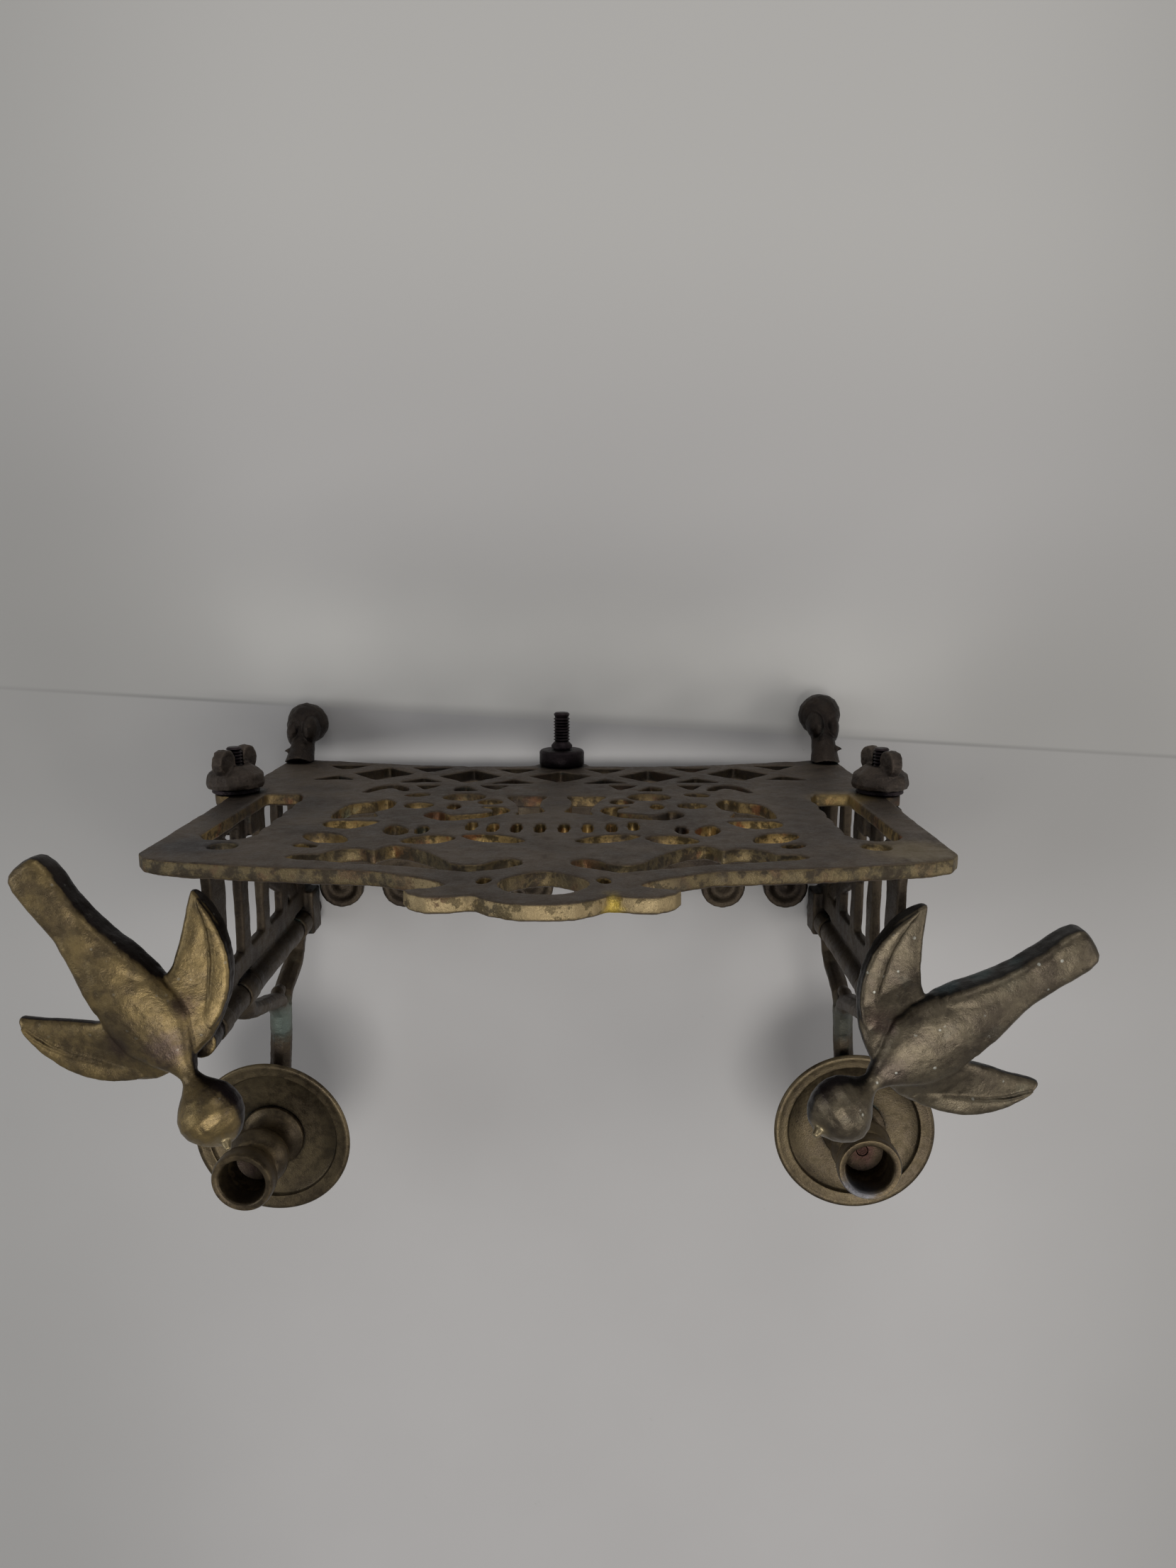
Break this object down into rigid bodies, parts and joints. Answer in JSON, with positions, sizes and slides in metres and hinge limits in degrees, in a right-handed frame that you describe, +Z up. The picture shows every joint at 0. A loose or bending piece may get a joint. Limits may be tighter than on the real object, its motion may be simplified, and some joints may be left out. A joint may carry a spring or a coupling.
{
  "type": "bible stand",
  "caption": "Aged bronze bible stand: pierced back plate, openwork sides and ledge, two swinging candle arms and a bird over each.",
  "frame": {"origin": "on the floor, under the middle of the whole stand", "axes": "+X to the right seen from behind and above with the crest nearest, +Y backwards away from the reader, +Z up"},
  "size_m": [0.3686, 0.2308, 0.248],
  "materials": {
    "aged_bronze": "dull aged patina",
    "worn_brass": "worn satin",
    "dark_steel": "dark oxidised"
  },
  "bodies": {
    "stand": {"back_plate": "aged_bronze", "ledge": "aged_bronze", "centre_stud": "dark_steel", "side_panel_left": "aged_bronze", "side_panel_right": "aged_bronze", "rear_foot_left": "aged_bronze", "rear_foot_right": "aged_bronze", "front_foot_left": "aged_bronze", "front_foot_right": "aged_bronze", "plate_stud_left": "dark_steel", "plate_stud_right": "dark_steel", "washer_left": "dark_steel", "washer_right": "dark_steel", "hinge_pin_left": "dark_steel", "hinge_pin_right": "dark_steel"},
    "left_arm": {"candle_bracket_left": "aged_bronze", "drip_pan_left": "worn_brass", "candle_nozzle_left": "worn_brass", "pan_screw_left": "dark_steel"},
    "left_bird": {"bird_left": "worn_brass"},
    "left_wing_nut": {"wing_nut_left": "aged_bronze"},
    "right_arm": {"candle_bracket_right": "aged_bronze", "drip_pan_right": "worn_brass", "candle_nozzle_right": "worn_brass", "pan_screw_right": "dark_steel"},
    "right_bird": {"bird_right": "worn_brass"},
    "right_wing_nut": {"wing_nut_right": "aged_bronze"},
    "round_nut": {"centre_nut": "dark_steel"}
  },
  "joints": [
    {"name": "left_arm_swing", "type": "hinge", "parent": "stand", "child": "left_arm", "pos_m": [-0.12235, 0.00988, 0.07], "axis": [0, 0, 1], "range_deg": [-95, 75]},
    {"name": "left_bird_turn", "type": "hinge", "parent": "stand", "child": "left_bird", "pos_m": [-0.12235, 0.00988, 0.155], "axis": [0, 0, 1], "range_deg": [-20, 118]},
    {"name": "left_wing_nut_turn", "type": "hinge", "parent": "stand", "child": "left_wing_nut", "pos_m": [-0.12485, 0.09188, 0.096], "axis": [0, 1, 0], "continuous": true},
    {"name": "right_arm_swing", "type": "hinge", "parent": "stand", "child": "right_arm", "pos_m": [0.12165, 0.00988, 0.07], "axis": [0, 0, 1], "range_deg": [-75, 95]},
    {"name": "right_bird_turn", "type": "hinge", "parent": "stand", "child": "right_bird", "pos_m": [0.12165, 0.00988, 0.155], "axis": [0, 0, 1], "range_deg": [-98, 38]},
    {"name": "right_wing_nut_turn", "type": "hinge", "parent": "stand", "child": "right_wing_nut", "pos_m": [0.12415, 0.09188, 0.096], "axis": [0, 1, 0], "continuous": true},
    {"name": "round_nut_turn", "type": "hinge", "parent": "stand", "child": "round_nut", "pos_m": [-0.00035, 0.08988, 0.033], "axis": [0, 1, 0], "continuous": true}
  ]
}
